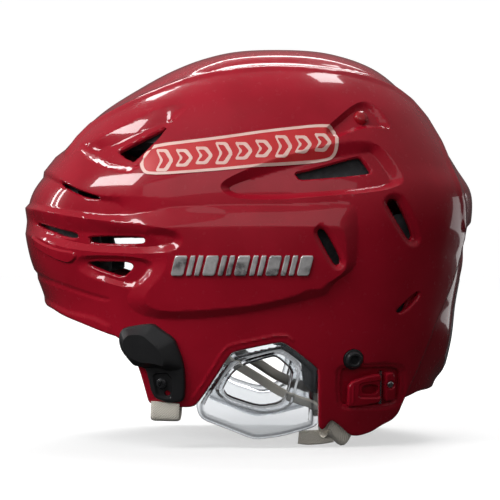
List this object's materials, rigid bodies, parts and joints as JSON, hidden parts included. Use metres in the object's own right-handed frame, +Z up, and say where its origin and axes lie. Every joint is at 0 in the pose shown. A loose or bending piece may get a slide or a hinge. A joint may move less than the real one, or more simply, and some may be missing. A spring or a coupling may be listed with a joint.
{
  "type": "ice hockey helmet",
  "caption": "Hard-shell ice hockey helmet with nested front and rear shells, foam liner, clear ear guards, side clips for a face cage, size latches and strap loops; no cage fitted.",
  "frame": {"origin": "midway between the left and right sides and between the front and back of the whole helmet, at the height of its lowest point", "axes": "+Z up, -Y forward, +X towards the wearer's left; the helmet is mirrored about X = 0"},
  "size_m": [0.2148, 0.2831, 0.2446],
  "materials": {
    "shell_red": "high gloss red shell plastic",
    "liner_black": "moulded expanded foam, dark grey",
    "pad_fabric": "brushed black lining over soft foam",
    "clear_plastic": "thick clear polycarbonate",
    "black_plastic": "moulded black nylon",
    "black_steel": "black oxide steel",
    "bright_steel": "nickel plated steel",
    "rivet_red": "red enamelled rivet head",
    "latch_red": "moulded red nylon",
    "webbing": "woven beige webbing",
    "bars_chrome": "chromed plastic",
    "sticker_red": "glossy printed film",
    "patch_grey": "glossy printed film"
  },
  "bodies": {
    "front": {"front_shell": "shell_red", "liner_front": "liner_black", "liner_crown": "liner_black", "liner_side_left": "liner_black", "liner_side_right": "liner_black", "pad_forehead": "pad_fabric", "pad_crown": "pad_fabric", "pad_side_left": "pad_fabric", "pad_side_right": "pad_fabric", "ear_guard_left": "clear_plastic", "ear_guard_right": "clear_plastic", "cage_clip_left": "black_plastic", "cage_clip_right": "black_plastic", "cage_clip_screws": "black_steel", "cage_clip_nuts": "black_steel", "side_screws": "black_steel", "side_nuts": "black_steel", "side_washers": "black_plastic", "ear_guard_rivets_left": "bright_steel", "ear_guard_rivets_right": "bright_steel", "strap_rivets_left": "bright_steel", "strap_rivets_right": "bright_steel", "latch_rivets": "bright_steel", "latch_pins": "bright_steel", "crown_rivets": "rivet_red", "latch_base_left": "latch_red", "latch_base_right": "latch_red", "strap_front_left": "webbing", "strap_front_right": "webbing", "strap_rear_left": "webbing", "strap_rear_right": "webbing", "side_bars_left": "bars_chrome", "side_bars_right": "bars_chrome", "sticker_left": "sticker_red", "sticker_right": "sticker_red"},
    "rear": {"rear_shell": "shell_red", "liner_rear": "liner_black", "pad_rear": "pad_fabric", "rear_patch": "patch_grey", "adjuster_rack_left": "black_plastic", "adjuster_rack_right": "black_plastic"},
    "latch_left": {"latch_tab_left": "latch_red"},
    "latch_right": {"latch_tab_right": "latch_red"}
  },
  "joints": [
    {"name": "rear_adjust", "type": "slide", "parent": "front", "child": "rear", "axis": [0, 1, 0], "range_m": [-0.01, 0]},
    {"name": "latch_left_lift", "type": "hinge", "parent": "front", "child": "latch_left", "pos_m": [0.07737, 0.07726, 0.03649], "axis": [0.3139, 0.0016, 0.9494], "range_deg": [0, 70]},
    {"name": "latch_right_lift", "type": "hinge", "parent": "front", "child": "latch_right", "pos_m": [-0.07737, 0.07726, 0.03649], "axis": [0.3139, -0.0016, -0.9494], "range_deg": [0, 70]}
  ]
}
